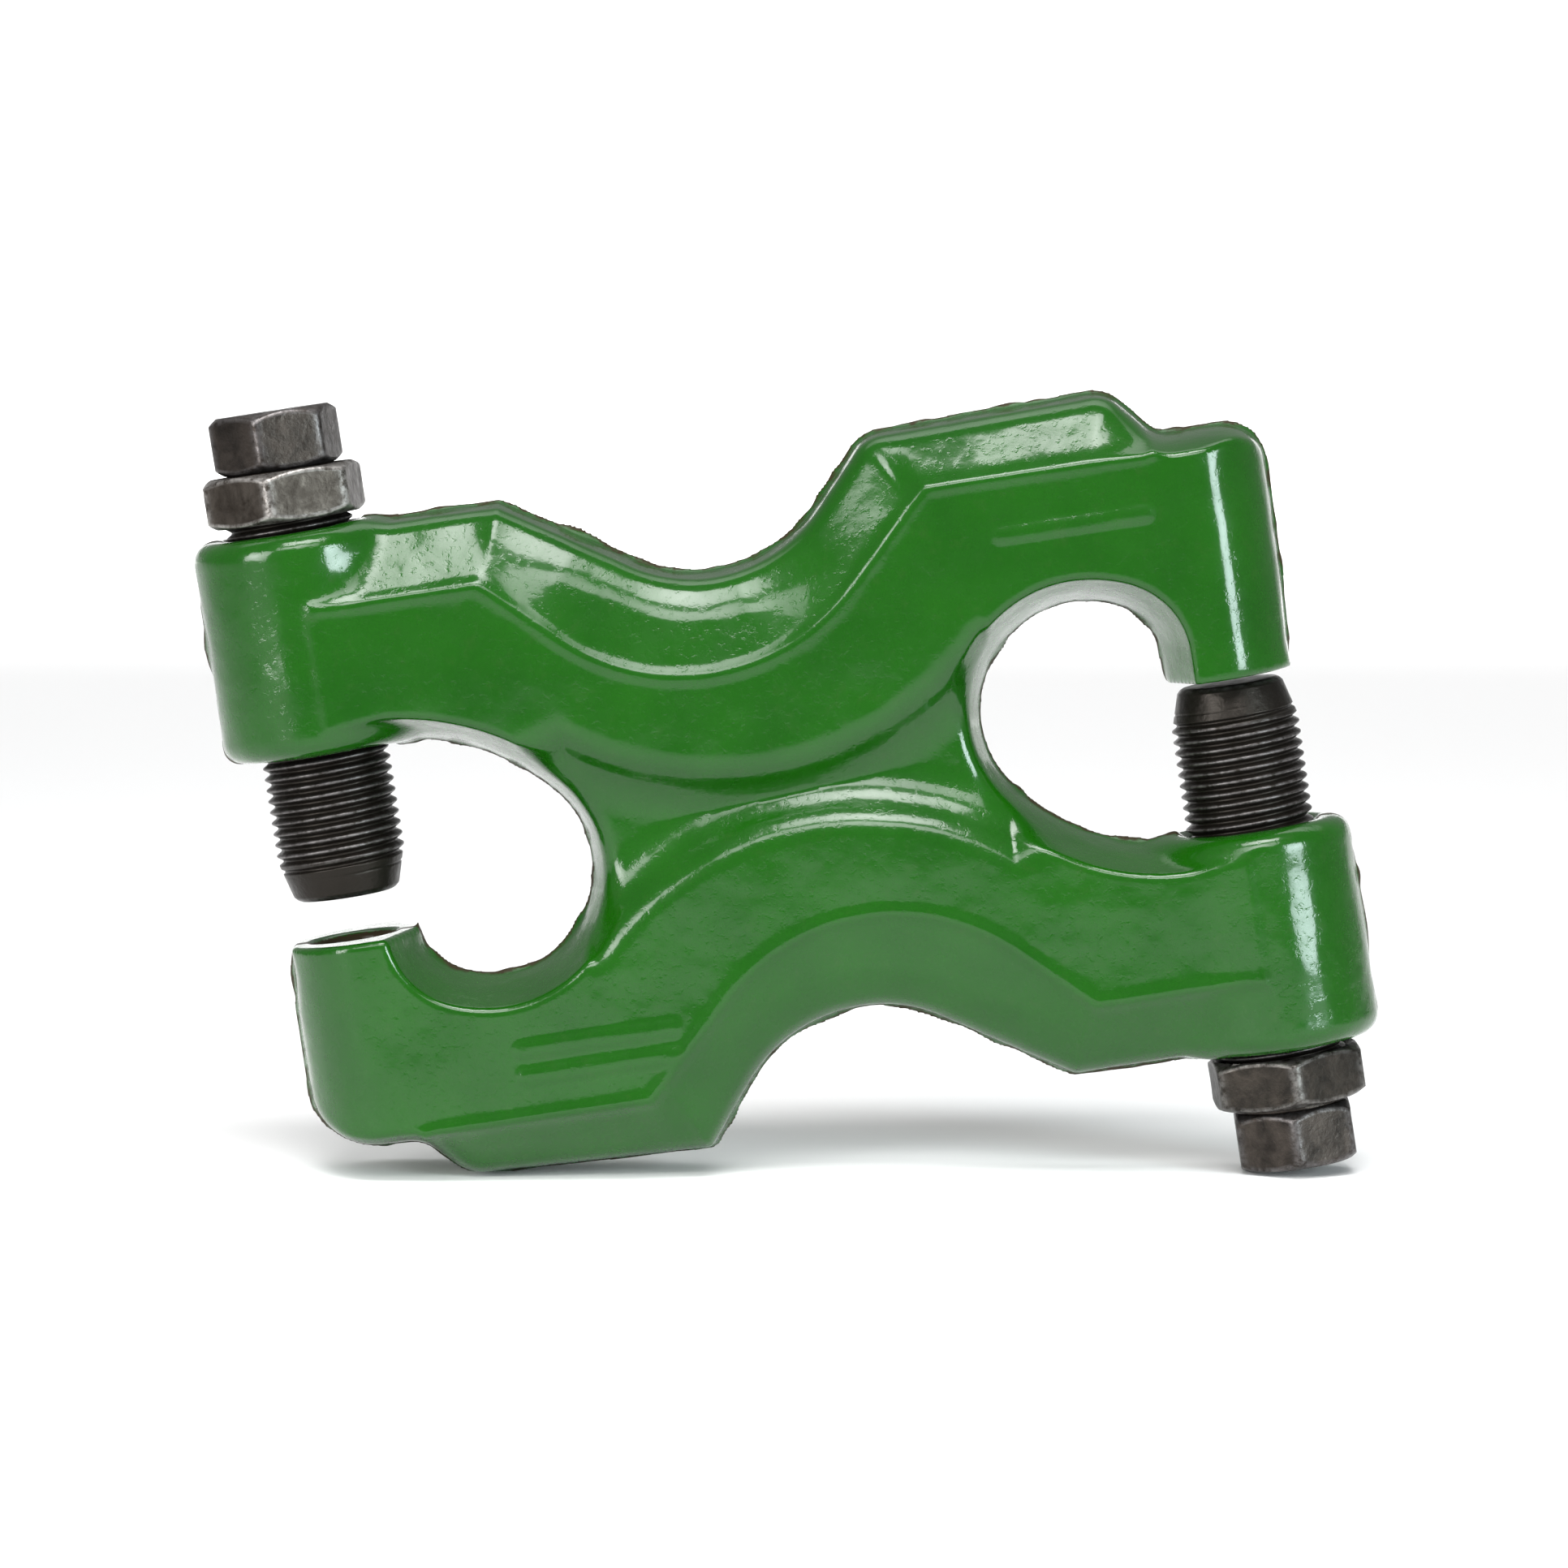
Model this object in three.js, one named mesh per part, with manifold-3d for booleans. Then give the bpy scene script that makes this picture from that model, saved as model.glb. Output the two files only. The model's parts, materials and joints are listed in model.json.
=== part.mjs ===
// Double-jaw pipe clamp: a cast X-shaped body with a C-shaped jaw at each end. Each jaw is closed by
// a hex-headed set screw with a lock nut. Millimetres, +Z up, X from jaw to jaw, Y through the thickness.
//
// The casting is drawn upright in its own frame: X along the body, Z along both screw axes, mid-plane
// at Y = 0, centre of the web at the origin. A turn of half a revolution about Y swaps the two jaws.
// The outer group leans it by STAND_TILT, as it stands on its block corner and its lower screw head,
// and places the origin at the middle of the standing object's base.

import * as THREE from 'three';
import { mergeVertices } from 'three/addons/utils/BufferGeometryUtils.js';
import Module from 'manifold-3d';

// ---- driving dimensions ----

const STAND_TILT = THREE.MathUtils.degToRad(-8.6);

// casting, seen from the front
const SCREW_X = 74.2; // screw axis from the centre
const BOSS_RADIUS = 16.2;
const BOSS_INNER = 17.5; // boss face towards the jaw
const BOSS_OUTER = 53.8; // boss face under the lock nut
const BOSS_ROUND = 3.2;
const ARM_TOP = 53.5; // arm's outer edge beside the boss
const ARM_CORNER_X = 39.5; // where the arm turns into the saddle
const SADDLE_CENTRE = new THREE.Vector2(-6.5, 61.4);
const SADDLE_RADIUS = 24.2; // takes a 1 1/2 inch pipe
const BLOCK_START_X = 20.6;
const BLOCK_END_X = 60.8;
const SHOULDER_X = 68;
const SHOULDER_TOP = 48.3;
const HOOK_OUTER_X = 85.2;
const HOOK_INNER_X = 63.3;
const HOOK_INNER_ROUND = 9; // between the hook's inner side and the jaw circle
const HOOK_SIDE_END = 24; // where the hook's outer side starts to draw in
const HOOK_DRAFT = 0.8;
const STEP_CUT = 1.8; // corners at both ends of the step from block to shoulder

// casting, through the thickness
const FACE_Y = 15.5; // half thickness at the flat front and back faces
const EDGE_Y = 6; // half thickness at the outer edges
const JAW_EDGE_Y = 2; // half thickness at the jaws, whose walls slope from the mid-plane
const CREST_TOP = 41.2; // where the flat face starts, beside the boss
const CREST_CORNER_X = 44.5;
const CREST_CENTRE = new THREE.Vector2(-9.5, 53.4);
const CREST_RADIUS = 35;
const BLOCK_CREST = 45.9;
const BLOCK_CREST_X = 29.2;
const HOOK_CREST = 43.4;
const HOOK_CREST_CUT = 3;
const HOOK_OUTER_BEVEL = 9.5;
const JAW_BEVEL = 4.7;
const WEB_Y = 10; // half thickness along the valley between the arms
const VALLEY_CENTRE = new THREE.Vector2(3.8, -56.3);
const VALLEY_FLOOR_RADIUS = 55.3;
const VALLEY_SLOPE = 4.5;
const VALLEY_END_X = 37;

// What differs between the two ends. The block's edge runs from height blockStart to blockEnd. Each
// jaw is a circle that takes a 1 inch pipe, and a throat whose wide arc meets the circle smoothly where
// it has turned by throatTurn degrees.
const RIGHT_HOOK = {
  tip: 7.8, blockStart: 55.7, blockEnd: 56.7, blockRound: 7, shoulderRound: 7,
  jawRadius: 17.2, throatRadius: 31.8, throatX: 62.4, throatTurn: 215.4,
};
const LEFT_HOOK = {
  tip: 13.5, blockStart: 56.6, blockEnd: 55.2, blockRound: 1.5, shoulderRound: 11,
  jawRadius: 16.8, throatRadius: 38, throatX: 66, throatTurn: 223.2,
};

// screws and lock nuts
const THREAD_RADIUS = 10.48; // G 1/2 major radius
const THREAD_CLEARANCE = 0.3;
const SHANK_LENGTH = 70.7;
const TIP_RADIUS = 8.5;
const TIP_CONE = 7;
const TIP_CHAMFER = 0.8;
const NECK_RADIUS = 8.7; // thread run-out under the head
const NECK_CONE = 2;
const HEAD_FLATS = 19;
const HEAD_HEIGHT = 9.5;
const NUT_FLATS = 24;
const NUT_HEIGHT = 8.2;
const HEX_CHAMFER = 1.3;
const HEX_FACE_INSET = 0.4; // from the flats to the round end face
const SOCKET_RADIUS = 6.65; // blind hole in each hook tip
const SOCKET_DEPTH = 8;
const SOCKET_CHAMFER = 1;

// where each screw and nut stands: height of the head's underside and of the nut's lower face above
// the centre, measured along the screw towards its head, and the turn of each hexagon
const LEFT_FITTINGS = { headBase: 64.2, nutBase: 55.75, headTurn: 18.5, nutTurn: 23 };
const RIGHT_FITTINGS = { headBase: 64.3, nutBase: 55.1, headTurn: 32.5, nutTurn: 27 };

const ROUND_STEPS = 64;
const CUT_MARGIN = 1; // how far cuts run past the faces they open

// ---- materials ----

function enamel() {
  return new THREE.MeshStandardMaterial({ color: 0x1f7a1c, roughness: 0.28, metalness: 0 });
}

function blackOxide(color) {
  return new THREE.MeshStandardMaterial({ color, roughness: 0.45, metalness: 0.8 });
}

// ---- solids ----

const wasm = await Module();
wasm.setup();

// A closed three.js geometry as a manifold solid, with its shared vertices merged.
function solidFrom(geometry) {
  const bare = geometry.clone();
  bare.deleteAttribute('normal');
  bare.deleteAttribute('uv');
  const merged = mergeVertices(bare, 1e-4);
  const points = merged.attributes.position.array;
  const corners = merged.index.array;
  const triangles = [];
  let volume = 0;
  const a = new THREE.Vector3();
  const b = new THREE.Vector3();
  const c = new THREE.Vector3();
  for (let i = 0; i < corners.length; i += 3) {
    const [p, q, r] = [corners[i], corners[i + 1], corners[i + 2]];
    if (p === q || q === r || r === p) continue;
    triangles.push([p, q, r]);
    a.fromArray(points, 3 * p);
    b.fromArray(points, 3 * q);
    c.fromArray(points, 3 * r);
    volume += a.dot(b.cross(c));
  }
  const outward = volume > 0 ? triangles : triangles.map(([p, q, r]) => [p, r, q]);
  return new wasm.Manifold(
    new wasm.Mesh({
      numProp: 3,
      vertProperties: new Float32Array(points),
      triVerts: new Uint32Array(outward.flat()),
    }),
  );
}

function geometryFrom(solid) {
  const result = solid.getMesh();
  const geometry = new THREE.BufferGeometry();
  geometry.setAttribute('position', new THREE.BufferAttribute(new Float32Array(result.vertProperties), 3));
  geometry.setIndex(new THREE.BufferAttribute(new Uint32Array(result.triVerts), 1));
  const flat = geometry.toNonIndexed();
  flat.computeVertexNormals();
  return flat;
}

// A solid of revolution about Z from [radius, z] pairs that start and end on the axis.
function turned(profile) {
  const points = profile.map(([radius, z]) => new THREE.Vector2(radius, z));
  const lathe = new THREE.LatheGeometry(points, ROUND_STEPS);
  lathe.rotateX(Math.PI / 2);
  return solidFrom(lathe);
}

function rod(radius, bottom, top) {
  return turned([[0, bottom], [radius, bottom], [radius, top], [0, top]]);
}

// A hexagonal prism about Z with both ends' corners chamfered; flats is its width across flats. At no
// turn, one flat looks forward, along -Y.
function hexagon(flats, bottom, top, turnDegrees) {
  const height = top - bottom;
  const reach = flats / Math.sqrt(3);
  const prism = new THREE.CylinderGeometry(reach, reach, height, 6, 1, false, Math.PI / 6);
  prism.rotateX(Math.PI / 2);
  prism.rotateZ(THREE.MathUtils.degToRad(turnDegrees));
  prism.translate(0, 0, (bottom + top) / 2);
  const rim = flats / 2 - HEX_FACE_INSET;
  const corner = reach + HEX_FACE_INSET;
  const barrel = turned([
    [0, bottom], [rim, bottom], [corner, bottom + HEX_CHAMFER],
    [corner, top - HEX_CHAMFER], [rim, top], [0, top],
  ]);
  return solidFrom(prism).intersect(barrel);
}

// ---- outline of the casting ----

function line(from, to, steps) {
  return new THREE.LineCurve(from, to).getPoints(steps);
}

// Points of an arc about a centre; angles in radians, clockwise when the end angle is smaller.
function arc(centre, radius, start, end, steps) {
  const curve = new THREE.EllipseCurve(centre.x, centre.y, radius, radius, start, end, end < start, 0);
  return curve.getPoints(steps);
}

// The angle about a circle's centre at which a line from a point outside touches it.
function touchAngle(centre, radius, point, side) {
  const away = point.clone().sub(centre);
  return Math.atan2(away.y, away.x) + side * Math.acos(radius / away.length());
}

function at(x, z) {
  return new THREE.Vector2(x, z);
}

// Pairs the outline with the crest that bounds the flat face, point by point; half is the half
// thickness at the outline.
function pair(edge, crest, half = EDGE_Y) {
  if (edge.length !== crest.length) throw new Error('edge and crest need the same number of points');
  return edge.map((point, i) => ({ edge: point, crest: crest[i], half }));
}

// From the boss axis along the arm's outer edge to the start of the saddle.
function armEdge() {
  return pair(
    line(at(-SCREW_X, ARM_TOP), at(-ARM_CORNER_X, ARM_TOP), 1),
    line(at(-SCREW_X, CREST_TOP), at(-CREST_CORNER_X, CREST_TOP), 1),
  );
}

// The saddle between the arm and the block: a round seat, a straight wall and the block's first corner.
function saddleEdge({ blockStart, blockRound }) {
  const steps = 24;
  const corner = at(-ARM_CORNER_X, ARM_TOP);
  const blockCorner = at(BLOCK_START_X, blockStart);
  const seatStart = touchAngle(SADDLE_CENTRE, SADDLE_RADIUS, corner, 1) - 2 * Math.PI;
  const seatEnd = touchAngle(SADDLE_CENTRE, SADDLE_RADIUS, blockCorner, -1);
  const wallAngle = seatEnd + Math.PI / 2;
  const roundCentre = at(BLOCK_START_X + blockRound * Math.tan(wallAngle / 2), blockStart - blockRound);
  const edge = [
    ...arc(SADDLE_CENTRE, SADDLE_RADIUS, seatStart, seatEnd, steps),
    ...arc(roundCentre, blockRound, wallAngle + Math.PI / 2, Math.PI / 2, 5),
  ];
  const crestCorner = at(-CREST_CORNER_X, CREST_TOP);
  const blockCrest = at(BLOCK_CREST_X, BLOCK_CREST);
  const crestStart = touchAngle(CREST_CENTRE, CREST_RADIUS, crestCorner, 1) - 2 * Math.PI;
  const crestEnd = touchAngle(CREST_CENTRE, CREST_RADIUS, blockCrest, -1);
  const bend = arc(CREST_CENTRE, CREST_RADIUS, crestStart, crestEnd, steps);
  return pair(edge, [...bend, ...line(bend[steps], blockCrest, 6).slice(1)]);
}

// The block's flat, its step down and the hook's shoulder, as far as the hook's outer side.
function blockEdge({ blockStart, blockEnd, blockRound, shoulderRound }) {
  const [corner, shoulder] = [at(BLOCK_END_X, blockEnd), at(SHOULDER_X, SHOULDER_TOP)];
  const cut = shoulder.clone().sub(corner).setLength(STEP_CUT);
  const along = at(BLOCK_START_X + blockRound, blockStart).sub(corner).setLength(STEP_CUT);
  const side = at(HOOK_OUTER_X - shoulderRound, SHOULDER_TOP - shoulderRound);
  const crestX = HOOK_OUTER_X - HOOK_OUTER_BEVEL;
  const edge = [
    corner.clone().add(along),
    corner.add(cut),
    shoulder.sub(cut),
    at(SHOULDER_X + STEP_CUT, SHOULDER_TOP),
    ...arc(side, shoulderRound, Math.PI / 2, 0, 8),
  ];
  const crest = [
    at(BLOCK_END_X - STEP_CUT, BLOCK_CREST),
    at(BLOCK_END_X, BLOCK_CREST),
    at(SHOULDER_X - STEP_CUT, BLOCK_CREST),
    at(SHOULDER_X + STEP_CUT, HOOK_CREST),
    ...line(at(crestX - HOOK_CREST_CUT, HOOK_CREST), at(crestX, HOOK_CREST - HOOK_CREST_CUT), 8),
  ];
  return pair(edge, crest);
}

// Down the hook's outer side and across its flat tip.
function hookEdge({ tip }) {
  const crestX = HOOK_OUTER_X - HOOK_OUTER_BEVEL;
  return pair(
    [at(HOOK_OUTER_X, HOOK_SIDE_END), at(HOOK_OUTER_X - HOOK_DRAFT, tip), at(HOOK_INNER_X + HOOK_DRAFT, tip)],
    [at(crestX, HOOK_SIDE_END), at(crestX, tip), at(HOOK_INNER_X + JAW_BEVEL, tip)],
  );
}

function throatCentre({ throatRadius, throatX }) {
  return at(throatX, throatRadius - BOSS_INNER);
}

// The jaw circle touches the throat's wide arc from inside.
function jawCentre(end) {
  const turn = THREE.MathUtils.degToRad(end.throatTurn);
  const inward = end.throatRadius - end.jawRadius;
  return at(Math.cos(turn), Math.sin(turn)).multiplyScalar(inward).add(throatCentre(end));
}

// From the hook's inner side round the jaw circle, and along the wide arc to the other yoke's boss.
function jawEdge(end) {
  const [centre, throat] = [jawCentre(end), throatCentre(end)];
  const turn = THREE.MathUtils.degToRad(end.throatTurn);
  const roundX = HOOK_INNER_X - HOOK_INNER_ROUND;
  const reach = end.jawRadius - HOOK_INNER_ROUND;
  const start = Math.acos((roundX - centre.x) / reach);
  const corner = at(roundX, centre.y + reach * Math.sin(start));
  const sweep = (radius) => [
    ...arc(corner, radius - reach, 0, start, 8),
    ...arc(centre, radius, start, turn, 22).slice(1),
    ...arc(throat, radius + end.throatRadius - end.jawRadius, turn, 1.5 * Math.PI, 12).slice(1),
  ];
  return [
    ...pair(sweep(end.jawRadius), sweep(end.jawRadius + JAW_BEVEL), JAW_EDGE_Y),
    ...pair([at(SCREW_X, -BOSS_INNER)], [at(SCREW_X, -BOSS_INNER - JAW_BEVEL)], JAW_EDGE_Y),
  ];
}

// One yoke, from its boss along its outer edge and round its hook to the opposite boss.
function yoke(end) {
  return [...armEdge(), ...saddleEdge(end), ...blockEdge(end), ...hookEdge(end), ...jawEdge(end)];
}

function halfTurned({ edge, crest, half }) {
  return { edge: edge.clone().negate(), crest: crest.clone().negate(), half };
}

// ---- the casting ----

// A slab whose flat faces end at the crest and slope down to the outline, where it is thinner.
function bevelledSlab(stations) {
  const count = stations.length;
  const rings = [
    stations.map(({ crest }) => [crest.x, -FACE_Y, crest.y]),
    stations.map(({ edge, half }) => [edge.x, -half, edge.y]),
    stations.map(({ edge, half }) => [edge.x, half, edge.y]),
    stations.map(({ crest }) => [crest.x, FACE_Y, crest.y]),
  ];
  const corners = [];
  for (let ring = 0; ring < rings.length - 1; ring += 1) {
    for (let i = 0; i < count; i += 1) {
      const next = (i + 1) % count;
      const [low, high] = [ring * count, (ring + 1) * count];
      corners.push(low + i, high + i, high + next, low + i, high + next, low + next);
    }
  }
  const face = THREE.ShapeUtils.triangulateShape(stations.map(({ crest }) => crest), []);
  const back = 3 * count;
  for (const [p, q, r] of face) {
    corners.push(p, r, q, back + p, back + q, back + r);
  }
  const geometry = new THREE.BufferGeometry();
  geometry.setAttribute('position', new THREE.Float32BufferAttribute(rings.flat(2), 3));
  geometry.setIndex(corners);
  return solidFrom(geometry);
}

function boss() {
  const [low, high] = [BOSS_INNER, BOSS_OUTER];
  const inset = BOSS_ROUND * (1 - Math.SQRT1_2);
  return turned([
    [0, low], [BOSS_RADIUS - BOSS_ROUND, low], [BOSS_RADIUS - inset, low + inset],
    [BOSS_RADIUS, low + BOSS_ROUND], [BOSS_RADIUS, high - BOSS_ROUND],
    [BOSS_RADIUS - inset, high - inset], [BOSS_RADIUS - BOSS_ROUND, high], [0, high],
  ]).translate([-SCREW_X, 0, 0]);
}

function socket(tip) {
  const [mouth, floor] = [tip, tip + SOCKET_DEPTH];
  return turned([
    [0, mouth - CUT_MARGIN], [SOCKET_RADIUS + SOCKET_CHAMFER + CUT_MARGIN, mouth - CUT_MARGIN],
    [SOCKET_RADIUS, mouth + SOCKET_CHAMFER], [SOCKET_RADIUS, floor], [0, floor],
  ]).translate([SCREW_X, 0, 0]);
}

// The valley between the arms, cut from the front: narrow at the centre and wide at both jaws.
function valley() {
  const spread = Math.asin((VALLEY_END_X - VALLEY_CENTRE.x) / VALLEY_FLOOR_RADIUS);
  const spreadBack = Math.asin((VALLEY_END_X + VALLEY_CENTRE.x) / VALLEY_FLOOR_RADIUS);
  const up = Math.PI / 2;
  const lower = arc(VALLEY_CENTRE, VALLEY_FLOOR_RADIUS, up + spreadBack, up - spread, 16);
  const upper = lower.map((point) => point.clone().negate());
  const slope = FACE_Y + CUT_MARGIN - WEB_Y;
  const cut = new THREE.ExtrudeGeometry(new THREE.Shape([...lower, ...upper]), {
    depth: CUT_MARGIN,
    bevelThickness: slope,
    bevelSize: VALLEY_SLOPE,
    bevelSegments: 1,
    steps: 1,
  });
  cut.rotateX(Math.PI / 2);
  cut.translate(0, -WEB_Y - slope, 0);
  return solidFrom(cut);
}

function clampBody() {
  const upperYoke = yoke(RIGHT_HOOK);
  const lowerYoke = yoke(LEFT_HOOK).map(halfTurned);
  const bore = rod(THREAD_RADIUS + THREAD_CLEARANCE, BOSS_INNER - CUT_MARGIN, BOSS_OUTER + CUT_MARGIN)
    .translate([-SCREW_X, 0, 0]);
  const solid = bevelledSlab([...upperYoke, ...lowerYoke])
    .add(boss())
    .add(boss().rotate([0, 180, 0]))
    .subtract(bore)
    .subtract(bore.rotate([0, 180, 0]))
    .subtract(socket(RIGHT_HOOK.tip))
    .subtract(socket(LEFT_HOOK.tip).rotate([0, 180, 0]))
    .subtract(valley())
    .subtract(valley().rotate([0, 0, 180]));
  return part('clamp_body', geometryFrom(solid), enamel());
}

// ---- screws and nuts ----

// Drawn with the head up and the point down; headBase is the height of the head's underside.
function setScrew(name, { headBase, headTurn }) {
  const tip = headBase - SHANK_LENGTH;
  const shank = turned([
    [0, tip], [TIP_RADIUS - TIP_CHAMFER, tip], [TIP_RADIUS, tip + TIP_CHAMFER],
    [THREAD_RADIUS, tip + TIP_CONE], [THREAD_RADIUS, headBase - NECK_CONE],
    [NECK_RADIUS, headBase], [NECK_RADIUS, headBase + HEX_CHAMFER], [0, headBase + HEX_CHAMFER],
  ]);
  const head = hexagon(HEAD_FLATS, headBase, headBase + HEAD_HEIGHT, headTurn);
  return part(name, geometryFrom(shank.add(head)), blackOxide(0x2b2626));
}

function lockNut(name, { nutBase, nutTurn }) {
  const top = nutBase + NUT_HEIGHT;
  const hole = rod(THREAD_RADIUS + THREAD_CLEARANCE, nutBase - CUT_MARGIN, top + CUT_MARGIN);
  const solid = hexagon(NUT_FLATS, nutBase, top, nutTurn).subtract(hole);
  return part(name, geometryFrom(solid), blackOxide(0x4a443d));
}

function part(name, geometry, material) {
  const mesh = new THREE.Mesh(geometry, material);
  mesh.name = name;
  return mesh;
}

// ---- assembly ----

function leftFittings() {
  const group = new THREE.Group();
  group.position.x = -SCREW_X;
  group.add(setScrew('left_set_screw', LEFT_FITTINGS), lockNut('left_lock_nut', LEFT_FITTINGS));
  return group;
}

// The right screw is the left one turned over: head down, point up.
function rightFittings() {
  const group = new THREE.Group();
  group.position.x = SCREW_X;
  group.rotation.y = Math.PI;
  group.add(setScrew('right_set_screw', RIGHT_FITTINGS), lockNut('right_lock_nut', RIGHT_FITTINGS));
  return group;
}

const casting = new THREE.Group();
casting.rotation.y = STAND_TILT;
casting.add(clampBody(), leftFittings(), rightFittings());
const standing = new THREE.Box3().setFromObject(casting, true);
const middle = standing.getCenter(new THREE.Vector3());
casting.position.set(-middle.x, -middle.y, -standing.min.z);

const clamp = new THREE.Group();
clamp.name = 'double_jaw_pipe_clamp';
clamp.add(casting);

export default clamp;
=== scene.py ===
"""Looks of the double-jaw pipe clamp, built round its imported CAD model.

Every piece is shaped in the clamp's own upright frame, in millimetres: X along the body, Y through
the thickness, Z along both screws, with the origin at the middle of the web. to_row() then places it
in the row frame, in metres, where the CAD's joints say that frame is.
"""

import json
import math

import bpy
import numpy as np
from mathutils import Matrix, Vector


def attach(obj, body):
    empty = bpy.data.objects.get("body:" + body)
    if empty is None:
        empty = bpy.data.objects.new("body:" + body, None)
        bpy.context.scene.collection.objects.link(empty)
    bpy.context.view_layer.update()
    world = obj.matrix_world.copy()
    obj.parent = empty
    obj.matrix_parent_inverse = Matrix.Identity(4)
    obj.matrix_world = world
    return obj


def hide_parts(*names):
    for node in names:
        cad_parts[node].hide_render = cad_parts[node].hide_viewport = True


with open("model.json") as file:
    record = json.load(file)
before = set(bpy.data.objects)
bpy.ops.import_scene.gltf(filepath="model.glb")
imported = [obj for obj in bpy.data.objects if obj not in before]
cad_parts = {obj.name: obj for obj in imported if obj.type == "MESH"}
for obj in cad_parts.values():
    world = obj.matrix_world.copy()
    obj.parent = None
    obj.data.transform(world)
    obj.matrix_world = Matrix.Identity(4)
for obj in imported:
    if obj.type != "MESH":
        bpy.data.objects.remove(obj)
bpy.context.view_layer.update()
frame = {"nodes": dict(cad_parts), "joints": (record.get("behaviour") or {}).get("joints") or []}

# ---- the clamp's own frame ----

joints = {joint["name"]: joint for joint in frame["joints"]}
left_axis_point = np.array(joints["left_turn"]["pos_m"])
right_axis_point = np.array(joints["right_turn"]["pos_m"])
middle = (left_axis_point + right_axis_point) / 2
span = right_axis_point - left_axis_point
SCREW_X = 500 * np.linalg.norm(span)
AXES = np.array([span / np.linalg.norm(span), [0, 1, 0], joints["right_turn"]["axis"]])


def to_row(points):
    """Points in the clamp's frame, in millimetres, as points in the row frame, in metres."""
    return middle + points @ AXES / 1000


def axial_range(node):
    """Lowest and highest height of a CAD node in the clamp's frame, in millimetres."""
    points = np.array([vertex.co for vertex in frame["nodes"][node].data.vertices])
    heights = 1000 * (points - middle) @ AXES[2]
    return heights.min(), heights.max()


# ---- camera ----

CAMERA_DISTANCE = 0.998
CAMERA_ELEVATION = math.radians(4.8)
CAMERA_LENS = 139.5
CAMERA_AIM = Vector(middle) + Vector((-0.0006, 0.0, 0.0006))


def look_at(obj, target):
    """Turn a camera or a light towards a point."""
    obj.rotation_euler = (target - obj.location).to_track_quat("-Z", "Y").to_euler()


camera = bpy.data.objects.new("camera", bpy.data.cameras.new("camera"))
camera.data.lens = CAMERA_LENS
camera.data.sensor_width = 36
camera.data.clip_start = 0.05
camera.data.clip_end = 50
back_away = Vector((0, -math.cos(CAMERA_ELEVATION), math.sin(CAMERA_ELEVATION)))
camera.location = CAMERA_AIM + CAMERA_DISTANCE * back_away
look_at(camera, CAMERA_AIM)
bpy.context.scene.collection.objects.link(camera)
bpy.context.scene.camera = camera

# ---- mesh helpers ----

NOISE_LATTICE = 32


def add_piece(name, points, face_groups, body, node, attributes):
    """A smooth piece from points in millimetres, riding on a body and standing for a CAD node.

    Each face group is an array with one row of point numbers for each face.
    """
    corners = np.concatenate([group.ravel() for group in face_groups])
    sizes = np.concatenate([np.full(len(group), group.shape[1]) for group in face_groups])
    mesh = bpy.data.meshes.new(name)
    mesh.vertices.add(len(points))
    mesh.vertices.foreach_set("co", to_row(points).astype(np.float32).ravel())
    mesh.loops.add(len(corners))
    mesh.loops.foreach_set("vertex_index", corners.astype(np.int32))
    mesh.polygons.add(len(sizes))
    mesh.polygons.foreach_set("loop_start", (np.cumsum(sizes) - sizes).astype(np.int32))
    mesh.polygons.foreach_set("use_smooth", np.ones(len(sizes), dtype=bool))
    mesh.update(calc_edges=True)
    for label, values in attributes.items():
        layer = mesh.attributes.new(label, "FLOAT", "POINT")
        layer.data.foreach_set("value", np.asarray(values, dtype=np.float32))
    piece = bpy.data.objects.new(name, mesh)
    bpy.context.scene.collection.objects.link(piece)
    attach(piece, body)
    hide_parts(node)
    return piece


def noise(points, size, seed):
    """Smooth random values from -1 to 1 that vary over about size millimetres."""
    count = NOISE_LATTICE
    lattice = np.random.default_rng(seed).random((count, count, count)) * 2 - 1
    scaled = points / size
    low = np.floor(scaled).astype(int)
    part = scaled - low
    part = part * part * (3 - 2 * part)
    value = np.zeros(len(points))
    for corner in np.ndindex(2, 2, 2):
        index = (low + corner) % count
        weight = np.prod(np.where(corner, part, 1 - part), axis=1)
        value += weight * lattice[index[:, 0], index[:, 1], index[:, 2]]
    return value


def soft_max(a, b, width):
    """The larger of two values, rounded where they are nearly equal."""
    return np.maximum(a, b) + np.maximum(width - np.abs(a - b), 0) ** 2 / (4 * width)


def soft_min(a, b, width):
    return -soft_max(-a, -b, width)


# ---- casting: outline and crest, seen from the front ----

BOSS_RADIUS = 16.2
BOSS_INNER = 17.5
BOSS_OUTER = 53.8
BOSS_ROUND = 3.2
ARM_TOP = 53.5
ARM_CORNER_X = 39.5
SADDLE = (-6.5, 61.4, 24.2)  # centre x, centre z, radius
BLOCK_START_X = 20.6
BLOCK_END_X = 60.8
SHOULDER_X = 68
SHOULDER_TOP = 48.3
HOOK_OUTER_X = 85.2
HOOK_INNER_X = 63.3
HOOK_INNER_ROUND = 9
HOOK_SIDE_END = 24
HOOK_DRAFT = 0.8
BLOCK_END_EASE = 3.2  # where the block's top turns down to the shoulder
STEP_EASE = 2.5  # where that slope meets the shoulder
CREST_TOP = 41.2
CREST_CORNER_X = 44.5
CREST_BEND = (-9.5, 55.6, 34.5)  # centre x, centre z, radius
BLOCK_CREST = 45.9
BLOCK_CREST_X = 29.2
BLOCK_CREST_END_X = 65
HOOK_CREST = 47
HOOK_CREST_X = (69, 83.2)
JAW_BEVEL = 4.7
RIGHT_HOOK = {
    "tip": 7.8, "block_start": 55.7, "block_end": 56.7, "corner": 7, "shoulder": 7,
    "jaw": 17.2, "throat": 31.8, "throat_x": 62.4, "turn": math.radians(215.4),
}
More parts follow.
